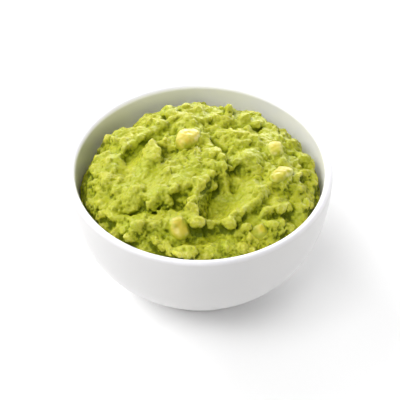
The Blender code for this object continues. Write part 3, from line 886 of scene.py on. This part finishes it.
def noise(material, size, detail=2.0, roughness=0.5):
    """Noise whose lumps are about the given size, in millimetres, in object space."""
    place = add_node(material, "ShaderNodeTexCoord")
    node = add_node(material, "ShaderNodeTexNoise",
                    {"Scale": 0.5 / (size * MM), "Detail": detail, "Roughness": roughness})
    material.node_tree.links.new(place.outputs["Object"], node.inputs["Vector"])
    return node.outputs["Fac"]


def remap(material, source, low, high, new_low, new_high):
    """A number moved from one range to another, and held inside it."""
    node = add_node(material, "ShaderNodeMapRange", {1: low, 2: high, 3: new_low, 4: new_high})
    material.node_tree.links.new(source, node.inputs[0])
    return node.outputs[0]


def bump(material, shader, source, distance, strength):
    """Small relief on a shader, in millimetres."""
    node = add_node(material, "ShaderNodeBump", {"Strength": strength, "Distance": distance * MM})
    material.node_tree.links.new(source, node.inputs["Height"])
    material.node_tree.links.new(node.outputs[0], shader.inputs["Normal"])


def guacamole_material():
    """Moist mash: painted paler on its lumps and greener and darker in its gaps, with pale flecks, partly
    painted glints.
    """
    material, shader = new_material("guacamole_mash")
    links = material.node_tree.links
    depth, crease, shade = (attribute(material, name) for name in ("depth", "crease", "shade"))
    pale = (0.70, 0.68, 0.075, 1.0)
    fleck_and_glint = (0.84, 0.80, 0.24, 1.0)
    green = (0.40, 0.44, 0.004, 1.0)
    painted_deep_shade = (0.15, 0.20, 0.0003, 1.0)
    yellow = (0.62, 0.56, 0.06, 1.0)
    leafy = (0.38, 0.46, 0.02, 1.0)
    painted_crease_shade = (0.07, 0.10, 0.0003, 1.0)
    # Pale specks over the mash: partly the pulp's own specks, partly painted glints.
    flecks_and_glints = remap(material, noise(material, 0.6, 3.0), 0.48, 0.64, 0.0, 0.85)
    base = mixed(material, flecks_and_glints, pale, fleck_and_glint)
    # Painted light and shade: paler where the mash stands above the heap round it, greener and then much
    # darker below it.
    base = mixed(material, remap(material, depth, -2.4, 0.8, 0.0, 1.0), base, green)
    base = mixed(material, remap(material, depth, 0.4, 3.4, 0.0, 1.0), base, painted_deep_shade)
    base = mixed(material, remap(material, shade, -1.0, 1.0, 0.0, 0.35), base, yellow)
    patches = remap(material, noise(material, 6.0), 0.35, 0.68, 0.0, 0.45)
    base = mixed(material, patches, base, leafy)
    # Painted shade: darkest in the creases between lumps.
    base = mixed(material, remap(material, crease, 0.1, 1.1, 0.0, 0.8), base, painted_crease_shade)
    links.new(base, shader.inputs["Base Color"])
    links.new(remap(material, noise(material, 1.6), 0.3, 0.7, 0.29, 0.42), shader.inputs["Roughness"])
    set_scatter(shader, 0.5, (1.0, 0.85, 0.18), 0.8)
    shader.inputs["Specular IOR Level"].default_value = 0.12
    links.new(remap(material, crease, -0.4, 0.6, 0.4, 0.0), shader.inputs["Coat Weight"])
    shader.inputs["Coat Roughness"].default_value = 0.2
    bump(material, shader, noise(material, 0.6, 3.0, 0.7), 0.8, 1.0)
    return material


def avocado_material():
    """Pale flesh, deeper yellow on the side turned from the light, with mash smeared up its edges."""
    material, shader = new_material("avocado_flesh")
    links = material.node_tree.links
    side, bare, smeared = (attribute(material, name) for name in ("side", "bare", "smeared"))
    pale = (0.76, 0.61, 0.10, 1.0)
    painted_deep_shade = (0.58, 0.47, 0.012, 1.0)
    tinted = (0.50, 0.44, 0.012, 1.0)
    greenish = (0.62, 0.62, 0.10, 1.0)
    mash_green = (0.40, 0.43, 0.015, 1.0)
    # Painted shade: deeper yellow on the side turned from the light.
    base = mixed(material, remap(material, side, -0.2, 0.7, 0.0, 1.0), pale, painted_deep_shade)
    base = mixed(material, smeared, base, tinted)
    patches = remap(material, noise(material, 3.0), 0.4, 0.65, 0.0, 0.4)
    base = mixed(material, patches, base, greenish)
    smear = add_node(material, "ShaderNodeMath", operation="MULTIPLY_ADD", values={1: 2.8, 2: -0.85})
    links.new(noise(material, 1.6, 3.0), smear.inputs[0])
    edge = add_node(material, "ShaderNodeMath", operation="SUBTRACT")
    links.new(bare, edge.inputs[0])
    links.new(smear.outputs[0], edge.inputs[1])
    base = mixed(material, remap(material, edge.outputs[0], -0.3, 0.9, 1.0, 0.0), base, mash_green)
    links.new(base, shader.inputs["Base Color"])
    links.new(remap(material, noise(material, 1.5), 0.3, 0.7, 0.3, 0.45), shader.inputs["Roughness"])
    set_scatter(shader, 0.5, (1.0, 0.8, 0.25), 2.0)
    bump(material, shader, noise(material, 0.7, 2.0), 0.2, 0.5)
    return material


def porcelain_material():
    """White glaze, a little uneven in colour, gloss and surface; darker outside, painted shade, and whiter
    and bluer inside, painted light.
    """
    material, shader = new_material("porcelain")
    links = material.node_tree.links
    thick = remap(material, noise(material, 16.0, 1.0), 0.35, 0.65, 0.0, 1.0)
    # Painted shade outside and painted light inside: one glaze as a darker and a whiter copy.
    outer = mixed(material, thick, (0.688, 0.679, 0.673, 1.0), (0.672, 0.665, 0.663, 1.0))
    inner = mixed(material, thick, (0.945, 0.935, 0.985, 1.0), (0.93, 0.922, 0.975, 1.0))
    links.new(mixed(material, attribute(material, "inside"), outer, inner), shader.inputs["Base Color"])
    links.new(remap(material, noise(material, 12.0), 0.3, 0.7, 0.30, 0.36), shader.inputs["Roughness"])
    bump(material, shader, noise(material, 5.0, 1.0), 0.1, 0.2)
    return material


# ---------------------------------------------------------------- the pieces

def arc(centre, radius, start, end, count):
    """Points on an arc, angles in degrees, both ends included."""
    return [(centre[0] + radius * math.cos(turn), centre[1] + radius * math.sin(turn))
            for turn in np.radians(np.linspace(start, end, count))]


def make_bowl(material):
    """The bowl, turned from the same outline as the CAD part but with many more segments."""
    lip = (RIM_RADIUS - LIP_RADIUS, RIM_HEIGHT - LIP_RADIUS)
    rim = (RIM_RADIUS, lip[1])
    foot = (FOOT_RADIUS, FOOT_HEIGHT)
    lean = math.radians(OUTER_FOOT_LEAN)
    foot_handle = (foot[0] + OUTER_FOOT_HANDLE * math.cos(lean),
                   foot[1] + OUTER_FOOT_HANDLE * math.sin(lean))
    outer = bezier(foot, foot_handle, (rim[0], rim[1] - OUTER_LIP_HANDLE), rim, OUTER_ROWS)
    foot_inside = FOOT_RADIUS - FOOT_WIDTH
    recess_corner = (foot_inside - RECESS_ROUND, RECESS_DEPTH - RECESS_ROUND)
    profile = [(0.0, RECESS_DEPTH), (foot_inside - 6.0, RECESS_DEPTH)]
    profile += arc(recess_corner, RECESS_ROUND, 90.0, 0.0, 5)
    profile += arc((foot_inside + FOOT_EDGE, FOOT_EDGE), FOOT_EDGE, 180.0, 270.0, 6)
    profile += arc((FOOT_RADIUS - FOOT_EDGE, FOOT_EDGE), FOOT_EDGE, 270.0, 360.0, 6)
    profile += outer.tolist()
    outer_count = len(profile)
    profile += arc(lip, LIP_RADIUS, 0.0, 180.0, LIP_ROWS)[1:-1]
    profile += WALL[::-1].tolist() + [(0.0, FLOOR_TOP)]
    build = bmesh.new()
    painted_light_inside = build.verts.layers.float.new("inside")
    turns = np.linspace(0.0, 2 * math.pi, BOWL_SEGMENTS, endpoint=False)
    rings = []
    for radius, height in profile:
        out, up = radius * MM, height * MM
        if out == 0.0:
            rings.append([build.verts.new((0.0, 0.0, up))] * BOWL_SEGMENTS)
            continue
        rings.append([build.verts.new((out * math.cos(turn), out * math.sin(turn), up))
                      for turn in turns])
    # Painted light: 0 on the darker outside, up to 1 on the whiter inside.
    for index, ring in enumerate(rings):
        for vert in ring:
            vert[painted_light_inside] = min(1.0, max(0.0, (index - outer_count) / PAINTED_LIGHT_ROWS))
    for low, high in zip(rings, rings[1:]):
        for index in range(BOWL_SEGMENTS):
            after = (index + 1) % BOWL_SEGMENTS
            corners = [low[index], low[after], high[after], high[index]]
            build.faces.new(list(dict.fromkeys(corners)))
    bmesh.ops.recalc_face_normals(build, faces=build.faces)
    mesh = bpy.data.meshes.new("porcelain_bowl")
    build.to_mesh(mesh)
    build.free()
    add_piece("porcelain_bowl", mesh, material, "bowl")


AWAY_FROM_LIGHT = Vector((0.62, -0.62, -0.48))


def chunk_shape(node, half_sizes):
    """Centre of a chunk, from the box of its CAD node, and its half sizes, both as arrays."""
    low, high = (np.array(corner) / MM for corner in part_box(node))
    return (low + high) / 2, np.array(half_sizes)


def make_chunk(node, half_sizes, turn, tilt, smeared, material, mash):
    """A diced piece of avocado with soft corners, pushed into the mash."""
    centre, half_sizes = chunk_shape(node, half_sizes)
    window, distance = mash.lump(centre, half_sizes, turn, tilt, CHUNK_POWER, CHUNK_WARP, 3.0)
    distance = distance - 0.2 * mash.bend[0][window] - 0.15 * mash.grit[window]
    axes = [axis[part] for axis, part in zip(mash.axes, window)]
    points, quads = surface_net(distance, axes)
    mesh = bpy.data.meshes.new(node + "_flesh")
    mesh.from_pydata((points * MM).tolist(), [], quads.tolist())
    side = np.array([vert.normal @ AWAY_FROM_LIGHT for vert in mesh.vertices])
    set_layers(mesh, side=side, bare=mash.sample(points), smeared=np.full(len(side), smeared))
    add_piece(node + "_flesh", mesh, material, node)


# ---------------------------------------------------------------- floor, light and camera

# Lights: name, azimuth (0 is the right, 90 the back), elevation, distance, width, height, strength.
LIGHTS = [
    ("window", 135.0, 35.0, 1.6, 1.0, 1.0, 0.60),
    ("side_window", 180.0, 35.0, 1.6, 1.0, 1.0, 0.32),
    ("high_window", 225.0, 64.0, 1.6, 1.0, 1.0, 0.58),
    ("back_window", 80.0, 14.0, 1.6, 1.6, 0.8, 1.10),
    ("right_card", 15.0, 7.0, 1.6, 1.4, 0.2, 0.46),
    ("front_card", 270.0, 38.0, 1.6, 1.0, 1.0, 0.20),
]
LIGHT_TARGET = (0.0, 0.0, 0.05)
WORLD_STRENGTH = 0.06
CAMERA_TARGET = (0.0, 0.0, 0.0368)
CAMERA_DISTANCE = 0.500
CAMERA_ELEVATION = math.radians(45.05)
CAMERA_LENS = 96.35
SENSOR = 36.0
FLOOR_HALF = 3.0


def make_floor():
    """A plain white sheet under the bowl."""
    mesh = bpy.data.meshes.new("floor")
    corners = [(across * FLOOR_HALF, along * FLOOR_HALF, 0.0)
               for across, along in ((-1, -1), (1, -1), (1, 1), (-1, 1))]
    mesh.from_pydata(corners, [], [(0, 1, 2, 3)])
    floor = bpy.data.objects.new("floor", mesh)
    bpy.context.scene.collection.objects.link(floor)
    material, shader = new_material("floor")
    base = mixed(material, noise(material, 60.0), (0.95, 0.95, 0.95, 1.0), (0.97, 0.97, 0.97, 1.0))
    material.node_tree.links.new(base, shader.inputs["Base Color"])
    shader.inputs["Roughness"].default_value = 0.9
    shader.inputs["Specular IOR Level"].default_value = 0.1
    mesh.materials.append(material)


def aim(thing, target):
    """Point an object's -Z axis at a place."""
    away = thing.location - Vector(target)
    thing.rotation_euler = away.to_track_quat("Z", "Y").to_euler()


def make_light(name, azimuth, elevation, distance, width, height, strength):
    """A soft light aimed at the bowl; strength 1 makes a white card that faces it just white."""
    data = bpy.data.lights.new(name, "AREA")
    data.shape = "RECTANGLE"
    data.size = width
    data.size_y = height
    data.energy = strength * (math.pi * distance) ** 2
    light = bpy.data.objects.new(name, data)
    azimuth, elevation = math.radians(azimuth), math.radians(elevation)
    light.location = Vector((
        distance * math.cos(elevation) * math.cos(azimuth),
        distance * math.cos(elevation) * math.sin(azimuth),
        distance * math.sin(elevation),
    ))
    bpy.context.scene.collection.objects.link(light)
    aim(light, LIGHT_TARGET)


def make_studio():
    """Soft daylight from the upper left and the back, in a white room."""
    scene = bpy.context.scene
    world = bpy.data.worlds.new("studio")
    world.use_nodes = True
    backdrop = world.node_tree.nodes["Background"]
    backdrop.inputs["Color"].default_value = (1.0, 1.0, 1.0, 1.0)
    backdrop.inputs["Strength"].default_value = WORLD_STRENGTH
    scene.world = world
    for light in LIGHTS:
        make_light(*light)
    scene.view_settings.view_transform = "Standard"
    scene.view_settings.look = "None"


def make_camera():
    """The camera looks down at the bowl from the front."""
    data = bpy.data.cameras.new("camera")
    data.sensor_width = SENSOR
    data.lens = CAMERA_LENS
    data.clip_start = 0.01
    camera = bpy.data.objects.new("camera", data)
    back = Vector((0.0, -math.cos(CAMERA_ELEVATION), math.sin(CAMERA_ELEVATION)))
    camera.location = Vector(CAMERA_TARGET) + back * CAMERA_DISTANCE
    bpy.context.scene.collection.objects.link(camera)
    aim(camera, CAMERA_TARGET)
    bpy.context.scene.camera = camera


make_camera()
make_studio()
make_floor()
make_bowl(porcelain_material())
mash = make_heap(guacamole_material())
flesh = avocado_material()
for chunk in CHUNKS:
    make_chunk(*chunk, flesh, mash)
